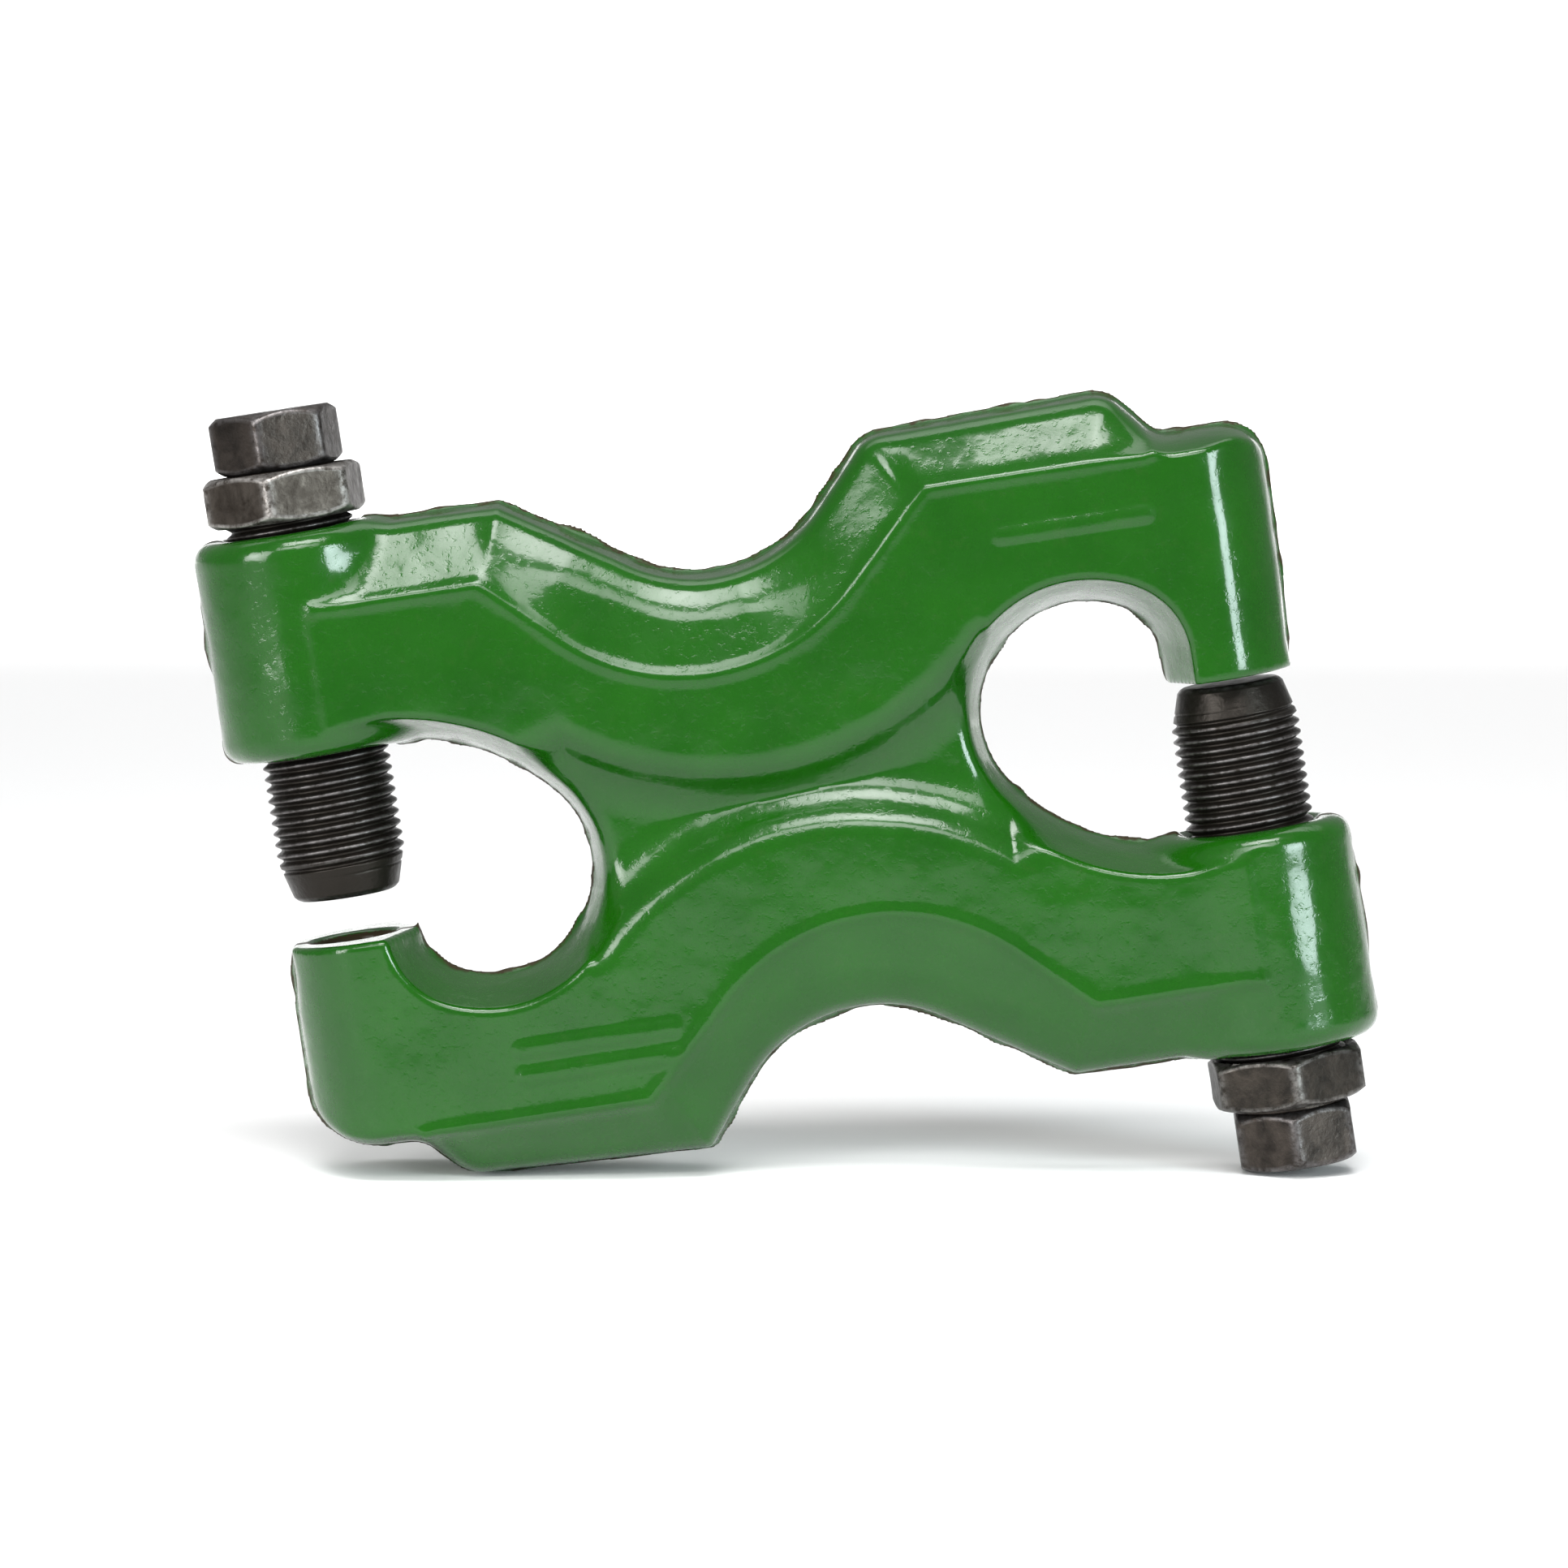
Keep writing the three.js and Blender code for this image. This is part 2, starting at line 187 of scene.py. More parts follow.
LEFT_HOOK = {
    "tip": 13.5, "block_start": 56.6, "block_end": 55.2, "corner": 1.5, "shoulder": 11,
    "jaw": 16.8, "throat": 38, "throat_x": 66, "turn": math.radians(223.2),
}
ARC_STEPS = 48
EASED_STEPS = 9


def arc(x, z, radius, start, end, steps=ARC_STEPS):
    """Points along a circle from one angle to another."""
    angle = np.linspace(start, end, steps)
    return np.stack([x + radius * np.cos(angle), z + radius * np.sin(angle)], axis=1)


def touch_angle(circle, point, side):
    """The angle about a circle at which a line from a point outside touches it."""
    x, z, radius = circle
    reach = math.hypot(point[0] - x, point[1] - z)
    return math.atan2(point[1] - z, point[0] - x) + side * math.acos(radius / reach)


def eased(before, corner, after, cut):
    """A corner between two neighbours, eased by a curve that starts this far from it."""
    before, corner, after = np.array(before), np.array(corner), np.array(after)
    start = corner + cut * (before - corner) / np.linalg.norm(before - corner)
    end = corner + cut * (after - corner) / np.linalg.norm(after - corner)
    t = np.linspace(0, 1, EASED_STEPS)[:, None]
    return (1 - t) ** 2 * start + 2 * t * (1 - t) * corner + t ** 2 * end


def jaw_sweep(hook, offset):
    """From a hook's inner side round its jaw and throat, offset outwards from the jaw's wall."""
    throat_z = hook["throat"] - BOSS_INNER
    inward = hook["throat"] - hook["jaw"]
    jaw_x = hook["throat_x"] + inward * math.cos(hook["turn"])
    jaw_z = throat_z + inward * math.sin(hook["turn"])
    reach = hook["jaw"] - HOOK_INNER_ROUND
    round_x = HOOK_INNER_X - HOOK_INNER_ROUND
    start = math.acos((round_x - jaw_x) / reach)
    round_z = jaw_z + reach * math.sin(start)
    return np.concatenate([
        arc(round_x, round_z, HOOK_INNER_ROUND + offset, 0, start, steps=16),
        arc(jaw_x, jaw_z, hook["jaw"] + offset, start, hook["turn"]),
        arc(hook["throat_x"], throat_z, hook["throat"] + offset, hook["turn"], 1.5 * math.pi),
        [(SCREW_X, -BOSS_INNER - offset)],
    ])


def edge_yoke(hook):
    """The outline from one boss round one hook to the other boss."""
    corner, block = (-ARM_CORNER_X, ARM_TOP), (BLOCK_START_X, hook["block_start"])
    seat_start = touch_angle(SADDLE, corner, 1)
    seat_end = touch_angle(SADDLE, block, -1)
    wall = seat_end + math.pi / 2
    round_x = BLOCK_START_X + hook["corner"] * math.tan(wall / 2)
    round_z = hook["block_start"] - hook["corner"]
    shoulder, tip = hook["shoulder"], hook["tip"]
    block_end, step = (BLOCK_END_X, hook["block_end"]), (SHOULDER_X, SHOULDER_TOP)
    return np.concatenate([
        [(-SCREW_X, ARM_TOP), corner],
        arc(*SADDLE, seat_start, seat_end),
        arc(round_x, round_z, hook["corner"], wall + math.pi / 2, math.pi / 2, steps=9),
        eased((round_x, hook["block_start"]), block_end, step, BLOCK_END_EASE),
        eased(block_end, step, (HOOK_OUTER_X, SHOULDER_TOP), STEP_EASE),
        arc(HOOK_OUTER_X - shoulder, SHOULDER_TOP - shoulder, shoulder, math.pi / 2, 0, steps=13),
        [(HOOK_OUTER_X, HOOK_SIDE_END), (HOOK_OUTER_X - HOOK_DRAFT, tip)],
        [(HOOK_INNER_X + HOOK_DRAFT, tip)],
        jaw_sweep(hook, 0),
    ])


def crest_yoke(hook):
    """The line where the flat face starts, from the same boss to the same other boss."""
    corner, block = (-CREST_CORNER_X, CREST_TOP), (BLOCK_CREST_X, BLOCK_CREST)
    bend_start = touch_angle(CREST_BEND, corner, 1)
    bend_end = touch_angle(CREST_BEND, block, -1)
    inner_x, outer_x = HOOK_CREST_X
    return np.concatenate([
        [(-SCREW_X, CREST_TOP), corner],
        arc(*CREST_BEND, bend_start, bend_end),
        [block, (BLOCK_CREST_END_X, BLOCK_CREST), (inner_x, HOOK_CREST)],
        [(outer_x, HOOK_CREST), (outer_x, hook["tip"]), (HOOK_INNER_X + JAW_BEVEL, hook["tip"])],
        jaw_sweep(hook, JAW_BEVEL),
    ])


def polygon_distance(x, z, polygon):
    """Distance to a closed polygon, negative inside it."""
    nearest = np.full(x.shape, np.inf)
    inside = np.zeros(x.shape, dtype=bool)
    for (ax, az), (bx, bz) in zip(polygon, np.roll(polygon, -1, axis=0)):
        ex, ez = bx - ax, bz - az
        if ex * ex + ez * ez == 0:
            continue
        along = np.clip(((x - ax) * ex + (z - az) * ez) / (ex * ex + ez * ez), 0, 1)
        nearest = np.minimum(nearest, (x - ax - along * ex) ** 2 + (z - az - along * ez) ** 2)
        if az != bz:
            inside ^= ((az > z) != (bz > z)) & (x < ex * (z - az) / ez + ax)
    return np.where(inside, -1, 1) * np.sqrt(nearest)


# ---- casting: the solid as a distance field ----

CELL = 0.5
MARGIN = 3

FACE_Y = 15.5
EDGE_Y = 8  # where an outer bevel meets the edge
JAW_EDGE_Y = 1  # where a jaw's narrow bevel does
BEVEL_LIMITS = (3, 22)  # narrowest and widest
JAW_BEVEL_LIMITS = (5.0, 6.4)  # a jaw's bevel up to the first width, an outer one from the second
JAW_REACH_Z = 38  # no jaw bevel beyond this height
BEVEL_STRAIGHT = 12.3  # a wider bevel is steep along its rim and shallow beyond
BEVEL_CHANGE = 3  # over which a straight bevel turns into such a one
STEEP_WIDTH = 6
STEEP_SHARE = 0.61  # of the bevel's height
BEVEL_BEND_SOFT = 0.12  # of the bevel's height
WIDE_EDGE_RISE = 1.5
CREST_SOFT = 0.7
CREST_LIP = 0.45
CREST_LIP_WIDTH = 1.15

WEB_Y = 10
VALLEY = (3.8, -56.3, 55.3)  # centre x, centre z and radius of one side; the other is the same, turned
VALLEY_SLOPE = 4.5  # how wide the valley's side is
VALLEY_ENDS = (-36, 42)
VALLEY_FADE_X = 35  # where the valley starts to run out
VALLEY_FADE = 0.9
VALLEY_MOUTH = (50.0, 5.0)  # inside the jaw, where the valley opens out
WEB_SOFT = 5
RIM_SOFT = 2.5

DRAFT = 0.10
EDGE_SOFT = 2.0
TIP_EDGE_SOFT = 0.6
FLASH_HEIGHT = 0.5
FLASH_WIDTH = 0.7
TIP_BLEND = 3.0  # how far from a tip's face the draft and the flash start
TIP_REACH = 3  # and how far inside the hook's inner side
TIP_EXTENSION = 12  # the bevels run on past the tips, which then cut them off square
HOOK_BAR_X = 69.0  # beyond it a hook is half of a round bar
HOOK_BAR_RADIUS = 16.3
HOOK_BAR_SOFT = 0.8
BOSS_BLEND = 3
BORE_RADIUS = 10.8
BORE_CHAMFER = 0.8
SOCKET_RADIUS = 6.65
SOCKET_DEPTH = 8
SOCKET_CHAMFER = 0.9
BAR_HEIGHT = 0.32
BAR_EDGE = 1.2
RAISED_BARS = [  # on the front, where the real casting has letters: centre, half length, half width
    ((-36.6, -39.0), 13.5, 1.3),
    ((-36.6, -34.6), 13.5, 1.3),
    ((52.0, 36.5), 13.0, 1.2),
]


def boss_field(x, y, z):
    """A round boss on the left screw's axis with rounded ends."""
    radial = np.hypot(x + SCREW_X, y) - BOSS_RADIUS + BOSS_ROUND
    half = (BOSS_OUTER - BOSS_INNER) / 2
    axial = np.abs(z - (BOSS_OUTER + BOSS_INNER) / 2) - half + BOSS_ROUND
    outside = np.hypot(np.maximum(radial, 0), np.maximum(axial, 0))
    return outside + np.minimum(np.maximum(radial, axial), 0) - BOSS_ROUND


def bore_field(x, y, z, radius, bottom, top, chamfer):
    """A round hole on the left screw's axis, opened out at both mouths."""
    inside = np.minimum(z - bottom, top - z)
    opening = np.maximum(chamfer - inside, 0)
    radial = np.hypot(x + SCREW_X, y) - radius - opening
    return np.maximum(radial, -inside - MARGIN)


def bar_mask(x, z, centre, half_length, half_width):
    """1 on a level raised bar with round ends, falling to 0 just outside it."""
    along = np.maximum(np.abs(x - centre[0]) - half_length + half_width, 0)
    distance = np.hypot(along, z - centre[1]) - half_width
    height = np.clip(0.5 - distance / BAR_EDGE, 0, 1)
    return height * height * (3 - 2 * height)


def both_yokes(yoke, tip_extension=0):
    """The closed line round the whole casting: the right yoke, then the left one turned half round."""
    right, left = (
        yoke({**hook, "tip": hook["tip"] - tip_extension}) for hook in (RIGHT_HOOK, LEFT_HOOK))
    return np.concatenate([right, -left])


def bevel_field(gx, gz):
    """Height of the bevels' slope, its tilt from the level, and the height of the crest's lip."""
    rim = polygon_distance(gx, gz, both_yokes(edge_yoke, TIP_EXTENSION))
    crest = polygon_distance(gx, gz, both_yokes(crest_yoke, TIP_EXTENSION))
    width = np.clip(crest - rim, *BEVEL_LIMITS)
    narrow, broad = JAW_BEVEL_LIMITS
    at_jaw = np.clip((broad - width) / (broad - narrow), 0, 1)
    at_jaw = at_jaw * (np.abs(gz) < JAW_REACH_Z) * (np.abs(gx) < SCREW_X)
    wide = np.clip((width - BEVEL_STRAIGHT) / BEVEL_CHANGE, 0, 1)
    thin = EDGE_Y + (JAW_EDGE_Y - EDGE_Y) * at_jaw + WIDE_EDGE_RISE * wide
    share = -rim / width
    steep = STEEP_WIDTH / width
    shallow = STEEP_SHARE + (1 - STEEP_SHARE) * (share - steep) / np.maximum(1 - steep, 0.1)
    bent = soft_min(STEEP_SHARE * share / steep, shallow, BEVEL_BEND_SOFT)
    climb = share + (bent - share) * wide
    lip = CREST_LIP * np.exp(-((crest / CREST_LIP_WIDTH) ** 2)) * (1 - at_jaw)
    slope = thin + (FACE_Y - thin) * climb + lip
    lean = width / np.hypot(width, FACE_Y - thin)
    return slope, lean, lip


def valley_field(gx, gz):
    """Distance to the valley between the two arms, growing faster where it runs out."""
    x, z, radius = VALLEY
    low, high = (math.asin((end - x) / radius) for end in VALLEY_ENDS)
    side = arc(x, z, radius, math.pi / 2 - low, math.pi / 2 - high)
    mouth = np.array([VALLEY_MOUTH])
    valley = polygon_distance(gx, gz, np.concatenate([side, mouth, -side, -mouth]))
    return valley + VALLEY_FADE * np.maximum(np.abs(gx) - VALLEY_FADE_X, 0)


def away_from_tips(gx, gz):
    """0 on the two hooks' tip faces, which have no draft or flash, and 1 away from them."""
    result = 1.0
    for side, hook in ((1, RIGHT_HOOK), (-1, LEFT_HOOK)):
        near = np.exp(-(((side * gz - hook["tip"]) / TIP_BLEND) ** 2))
        result = result * (1 - near * (side * gx > HOOK_INNER_X - TIP_REACH))
    return result


def casting_field(x, z, y):
    """The casting's distance field over the grid x by z by y, negative inside."""
    gx, gz = np.meshgrid(x, z, indexing="ij")
    edge = polygon_distance(gx, gz, both_yokes(edge_yoke))
    slope, lean, lip = bevel_field(gx, gz)
    valley = valley_field(gx, gz)
    valley_rise = (FACE_Y + 1 - WEB_Y) / VALLEY_SLOPE
    valley_lean = 1 / math.hypot(1, valley_rise)
    cast = away_from_tips(gx, gz)
    edge_soft = TIP_EDGE_SOFT + (EDGE_SOFT - TIP_EDGE_SOFT) * cast
    marks = sum(bar_mask(gx, gz, *bar) for bar in RAISED_BARS)
    field = np.empty((len(x), len(z), len(y)), dtype=np.float32)
    for k, height in enumerate(y):
        away = abs(height)
        face = away - FACE_Y - lip - (BAR_HEIGHT * marks if height < 0 else 0)
        body = soft_max(face, (away - slope) * lean, CREST_SOFT)
        dip = valley if height < 0 else valley[::-1]
        wall = (away - WEB_Y - valley_rise * dip) * valley_lean
        web = soft_min(np.full_like(gx, away - WEB_Y), wall, WEB_SOFT)
        body = soft_max(body, web, RIM_SOFT)
        flash = FLASH_HEIGHT * math.exp(-((height / FLASH_WIDTH) ** 2)) * cast
        body = soft_max(body, edge + DRAFT * away * cast - flash, edge_soft)
        for side, hook in ((1, LEFT_HOOK), (-1, RIGHT_HOOK)):
            bx, bz = side * gx, side * gz
            tip = -hook["tip"]
            floor = tip - SOCKET_DEPTH
            round_side = np.hypot(np.maximum(-bx - HOOK_BAR_X, 0), height) - HOOK_BAR_RADIUS - flash
            round_side = np.where((bz < 0) & (bx < -HOOK_BAR_X), round_side, -MARGIN)
            body = soft_max(body, round_side, HOOK_BAR_SOFT)
            body = soft_min(body, boss_field(bx, height, bz), BOSS_BLEND)
            bore = bore_field(bx, height, bz, BORE_RADIUS, BOSS_INNER, BOSS_OUTER, BORE_CHAMFER)
            body = np.maximum(body, -bore)
            socket = bore_field(bx, height, bz, SOCKET_RADIUS, floor, tip, SOCKET_CHAMFER)
            body = np.maximum(body, -np.maximum(socket, floor - bz))
        field[:, :, k] = body
    return field


def surface_nets(field, origin, cell):
    """A quad mesh of the field's zero surface, with one point in each cell that it crosses."""
    inside = field < 0
    shape = tuple(n - 1 for n in field.shape)
    corner_sum = np.zeros(shape, dtype=np.int8)
    for a, b, c in np.ndindex(2, 2, 2):
        corner_sum += inside[a:a + shape[0], b:b + shape[1], c:c + shape[2]]
    crossed = (corner_sum > 0) & (corner_sum < 8)
    cells = np.argwhere(crossed)
    number = np.full(shape, -1, dtype=np.int64)
    number[crossed] = np.arange(len(cells))

    total = np.zeros((len(cells), 3))
    hits = np.zeros(len(cells))
    for axis in range(3):
        for offset in np.ndindex(2, 2):
            start = np.insert(offset, axis, 0)
            step = np.eye(3, dtype=int)[axis]
            a = field[tuple((cells + start).T)].astype(float)
            b = field[tuple((cells + start + step).T)].astype(float)
            cut = (a < 0) != (b < 0)
            share = np.where(cut, a / np.where(cut, a - b, 1), 0)
            total += np.where(cut[:, None], start + share[:, None] * step, 0)
            hits += cut
    points = origin + cell * (cells + total / hits[:, None])

    quads = []
    for axis in range(3):
        u, v = (axis + 1) % 3, (axis + 2) % 3
        lower = np.take(inside, range(field.shape[axis] - 1), axis=axis)
        upper = np.take(inside, range(1, field.shape[axis]), axis=axis)
        for leaving in (True, False):
            edges = np.argwhere((lower & ~upper) if leaving else (~lower & upper))
            ring = []
            for du, dv in ((0, 0), (-1, 0), (-1, -1), (0, -1)):
                near = edges.copy()
                near[:, u] += du
                near[:, v] += dv
                ring.append(number[tuple(near.T)])
            ring = np.stack(ring if leaving else ring[::-1], axis=1)
            quads.append(ring)
    return points, np.concatenate(quads)


def relaxed(points, quads, times):
    """Points drawn towards the mean of their neighbours, then back out, so the form keeps its size."""
    edges = np.concatenate([quads[:, [i, (i + 1) % 4]] for i in range(4)])
    count = np.bincount(edges.ravel(), minlength=len(points))
    for _ in range(times):
        for share in RELAX_SHARES:
            mean = np.zeros_like(points)
            for k in range(3):
                mean[:, k] = np.bincount(edges[:, 0], points[edges[:, 1], k], len(points))
                mean[:, k] += np.bincount(edges[:, 1], points[edges[:, 0], k], len(points))
            mean /= count[:, None]
            points = points + share * (mean - points)
    return points


def vertex_normals(points, quads):
    """Unit normals at the points, from the quads round each."""
    a, b, c, d = (points[quads[:, i]] for i in range(4))
    across = np.cross(c - a, d - b)
    normals = np.zeros_like(points)
    for i in range(4):
        for k in range(3):
            normals[:, k] += np.bincount(quads[:, i], across[:, k], len(points))
    return normals / np.maximum(np.linalg.norm(normals, axis=1), 1e-9)[:, None]


RELAX_SHARES = (0.5, -0.52)
RELAX_TIMES = 2
SWELLS = ((0.16, 13), (0.055, 5), (0.02, 2.2))  # height and size of the sand casting's unevenness
MACHINED_WIDTH = 0.6  # the tips' faces are even
MACHINED_REACH = 12  # round each socket
SEAM_WIDTH = 1.6
SEAM_RAGS = ((0.5, 3.1, 0), (1.2, 9, 0.35))  # height, size and threshold of the parting line's rags


def build_casting():
    """The casting's points and quads, and how far each point lies on the parting line or in a socket; the
    enamel turns the parting line dark brown, partly bare iron and partly painted shade along the edge
    walls.
    """
    block_top = max(RIGHT_HOOK["block_end"], LEFT_HOOK["block_start"])
    reach = np.array([SCREW_X + BOSS_RADIUS, FACE_Y + 1, block_top]) + MARGIN
    steps = [math.ceil(half / CELL) for half in reach]
    x, y, z = (CELL * np.arange(-count, count + 1) for count in steps)
    field = casting_field(x, z, y).transpose(0, 2, 1)
    points, quads = surface_nets(field, np.array([x[0], y[0], z[0]]), CELL)
    points = relaxed(points, quads, RELAX_TIMES)
    normals = vertex_normals(points, quads)

    swell = sum(rise * noise(points, size, seed) for seed, (rise, size) in enumerate(SWELLS, 1))
    machined = np.zeros(len(points))
    in_socket = np.zeros(len(points), dtype=bool)
    for side, tip in ((1, RIGHT_HOOK["tip"]), (-1, LEFT_HOOK["tip"])):
        along = side * points[:, 2] - tip
        radial = np.hypot(side * points[:, 0] - SCREW_X, points[:, 1])
        near = radial < SOCKET_RADIUS + MACHINED_REACH
        machined = np.maximum(machined, near * np.exp(-((along / MACHINED_WIDTH) ** 2)))
        in_socket |= (radial < SOCKET_RADIUS + 0.5) & (along > 0.3) & (along < SOCKET_DEPTH + 1)
    # parting line mask; the enamel also uses it to paint shade as a dark brown line along the edge walls
    seam_and_shade = np.exp(-((points[:, 1] / SEAM_WIDTH) ** 2)) * (1 - np.abs(normals[:, 1]))
    ragged = sum(rise * np.maximum(noise(points, size, seed) - least, 0)
                 for seed, (rise, size, least) in enumerate(SEAM_RAGS, len(SWELLS) + 1))
    rise = (swell + seam_and_shade * ragged) * (1 - machined)
    return points + normals * rise[:, None], quads, np.where(in_socket, 1, seam_and_shade)


# ---- screws and nuts ----

THREAD_RADIUS = 10.48
THREAD_PITCH = 1.814
THREAD_DEPTH = 0.95
THREAD_FLAT = 0.12  # of half a pitch, at the root and at the crest
THREAD_ROUND = 0.35  # how far the flanks are rounded
SHANK_LENGTH = 70.7
TIP_RADIUS = 8.5
TIP_CONE = 7
TIP_ROUND = 0.8
NECK_RADIUS = 8.9
NECK_LENGTH = 2.2
NECK_SLOPE = 1.2
HEAD_FLATS = 19
NUT_FLATS = 24
HEX_CHAMFER = 1.3
HEX_INSET = 0.3
HEX_SHARPNESS = 46
EDGE_WEAR = 0.7
RIM_WEAR = 0.7
DENT = 0.10
DENT_SIZES = (4.2, 7)
HEAD_SEED = 11
CENTRE_RADIUS = 0.05  # where a disc's last ring closes on its middle point
NUT_BORE = 10.75
NUT_THREAD_DEPTH = 0.25
NUT_COUNTERSINK = 0.9
NUT_THREAD_RINGS = 24
FACE_RINGS = 7
COLUMNS = 144
RINGS_PER_PITCH = 14


def hex_radius(angle, flats):
    """Radius of a hexagon with slightly rounded corners; a flat lies at angle 0."""
    total = sum(np.maximum(np.cos(angle - i * math.pi / 3), 0) ** HEX_SHARPNESS for i in range(6))
    return flats / 2 / total ** (1 / HEX_SHARPNESS)


def hex_edge_wear(angle, flats):
    """1 on a hexagon's long corners, fading within about a millimetre."""
    from_corner = np.abs((angle + math.pi) % (math.pi / 3) - math.pi / 6)
    return np.exp(-((from_corner * flats / 2 / EDGE_WEAR) ** 2))


def hex_rings(angle, flats, bottom, top, inner):
    """Rings (radius, height, wear) from the inner radius across the bottom, up the sides and back in."""
    rim = flats / 2 - HEX_INSET
    full = hex_radius(angle, flats)
    drop = (full - rim) * HEX_CHAMFER / (flats / math.sqrt(3) - rim)
    wear = hex_edge_wear(angle, flats)
    still = np.zeros_like(angle)
    rings = []
    for radius in np.linspace(inner, rim, FACE_RINGS):
        rings.append((still + radius, still + bottom, still + RIM_WEAR * (radius == rim)))
    for share in (0.5, 1):
        rings.append((rim + share * (full - rim), bottom + share * drop, still + share))
    for share in np.linspace(0, 1, 13)[1:-1]:
        height = bottom + drop + share * (top - bottom - 2 * drop)
        rings.append((full, height, wear))
    for share in (1, 0.5):
        rings.append((rim + share * (full - rim), top - share * drop, still + share))
    for radius in np.linspace(rim, inner, FACE_RINGS):
        rings.append((still + radius, still + top, still + RIM_WEAR * (radius == rim)))
    return rings


def swept(rings, angle, loop):
    """Points, quads and wear from rings that go once round; loop joins the last ring to the first."""
    radius, height, wear = (np.stack([ring[i] for ring in rings]) for i in range(3))
    points = np.stack([radius * np.sin(angle), -radius * np.cos(angle), height], axis=2)
    rows, columns = radius.shape
    row, column = np.meshgrid(np.arange(rows if loop else rows - 1), np.arange(columns), indexing="ij")
    after, across = (row + 1) % rows, (column + 1) % columns
    quads = np.stack([row * columns + column, row * columns + across,
                      after * columns + across, after * columns + column], axis=2)
    return points.reshape(-1, 3), quads.reshape(-1, 4), wear.ravel()


def thread_radius(angle, height, tip, neck):
    """Whitworth-like thread, cut down by the point's cone and by the neck under the head."""
    phase = (height / THREAD_PITCH - angle / (2 * math.pi)) % 1
    ridge = np.clip((np.abs(2 * phase - 1) - THREAD_FLAT) / (1 - 2 * THREAD_FLAT), 0, 1)
    ridge = ridge * ridge * (3 - 2 * ridge) * THREAD_ROUND + ridge * (1 - THREAD_ROUND)
    radius = THREAD_RADIUS - THREAD_DEPTH * (1 - ridge)
    cone = TIP_RADIUS + (THREAD_RADIUS - TIP_RADIUS) * (height - tip) / TIP_CONE
    run_out = NECK_RADIUS + np.maximum(neck - height, 0) * NECK_SLOPE
    return np.minimum(np.minimum(radius, cone), run_out)


def placed(points, side):
    """From a screw's own frame, head up at the origin, onto the left or the right axis."""
    turned = points if side < 0 else points * (-1, 1, -1)
    return turned + (side * SCREW_X, 0, 0)


def own_range(side, node):
    """Lowest and highest height of a CAD node in its screw's own frame."""
    low, high = axial_range(node)
    return (low, high) if side < 0 else (-high, -low)


def dented(points, quads, seed):
    """Points moved by small dents and waves."""
    normals = vertex_normals(points, quads)
    small, large = DENT_SIZES
    dents = np.maximum(noise(points, small, seed) - 0.45, 0) * -1.1
    dents = dents + 0.35 * noise(points, large, seed + 1)
    return points + normals * (DENT * dents)[:, None]


def add_screw(side, name, body, node, turn):
    """A set screw: point, thread, neck and hexagonal head, as one closed piece."""
    tip, top = own_range(side, node)
    base = tip + SHANK_LENGTH
    angle = np.linspace(0, 2 * math.pi, COLUMNS, endpoint=False)
    still = np.zeros_like(angle)
    rings = [(still + radius, still + tip, still)
             for radius in np.linspace(CENTRE_RADIUS, TIP_RADIUS - TIP_ROUND, 9)]
    rings.append((still + TIP_RADIUS - 0.3, still + tip + 0.25, still + 0.8))
    start, end = tip + TIP_ROUND, base - 0.3
    count = int((end - start) / THREAD_PITCH * RINGS_PER_PITCH)
    crest = THREAD_RADIUS - 0.3
    for height in np.linspace(start, end, count):
        radius = thread_radius(angle, still + height, tip, base - NECK_LENGTH)
        rings.append((radius, still + height, np.clip((radius - crest) / 0.3, 0, 1)))
    rings += hex_rings(angle - turn, HEAD_FLATS, base, top, NECK_RADIUS)[:-FACE_RINGS]
    rim = HEAD_FLATS / 2 - HEX_INSET
    for radius in (rim, rim - 0.5, rim * 0.75, rim * 0.5, rim * 0.25, CENTRE_RADIUS):
        rings.append((still + radius, still + top, still + RIM_WEAR * (radius == rim)))
    points, quads, wear = swept(rings, angle, loop=False)
    head = points[:, 2] > base - 0.5
    points = np.where(head[:, None], dented(points, quads, HEAD_SEED), points)

    around = np.arange(COLUMNS)
    ahead = (around + 1) % COLUMNS
    first, last = np.full(COLUMNS, len(points)), np.full(COLUMNS, len(points) + 1)
    final = (len(rings) - 1) * COLUMNS
    caps = np.concatenate([np.stack([ahead, around, first], axis=1),
                           np.stack([final + around, final + ahead, last], axis=1)])
    points = np.concatenate([points, [(0, 0, tip), (0, 0, top)]])
    attributes = {"wear": np.append(wear, [0, 0]), "head": np.append(head, [False, True])}
    return add_piece(name, placed(points, side), [quads, caps], body, node, attributes)


def add_nut(side, name, body, node, turn, seed):
    """A lock nut with countersunk mouths and a threaded bore."""
    bottom, top = own_range(side, node)
    angle = np.linspace(0, 2 * math.pi, COLUMNS, endpoint=False)
    still = np.zeros_like(angle)
    rings = hex_rings(angle - turn, NUT_FLATS, bottom, top, NUT_BORE + NUT_COUNTERSINK)
    for height in np.linspace(top - NUT_COUNTERSINK, bottom + NUT_COUNTERSINK, NUT_THREAD_RINGS):
        phase = (height / THREAD_PITCH - angle / (2 * math.pi)) % 1
        rings.append((NUT_BORE + NUT_THREAD_DEPTH * np.abs(2 * phase - 1), still + height, still))
    points, quads, wear = swept(rings, angle, loop=True)
    points = dented(points, quads, seed)
    return add_piece(name, placed(points, side), [quads], body, node, {"wear": wear})


# ---- materials ----


def new_material(name):
    """A material, its node tree and its shader node."""
    material = bpy.data.materials.new(name)
    material.use_nodes = True
    tree = material.node_tree
    return material, tree, tree.nodes["Principled BSDF"]


def noise_node(tree, where, scale, detail, roughness=0.5, distortion=0.0):
    node = tree.nodes.new("ShaderNodeTexNoise")
    node.inputs["Scale"].default_value = scale
    node.inputs["Detail"].default_value = detail
    node.inputs["Roughness"].default_value = roughness
    node.inputs["Distortion"].default_value = distortion
    tree.links.new(where, node.inputs["Vector"])
    return node.outputs["Fac"]


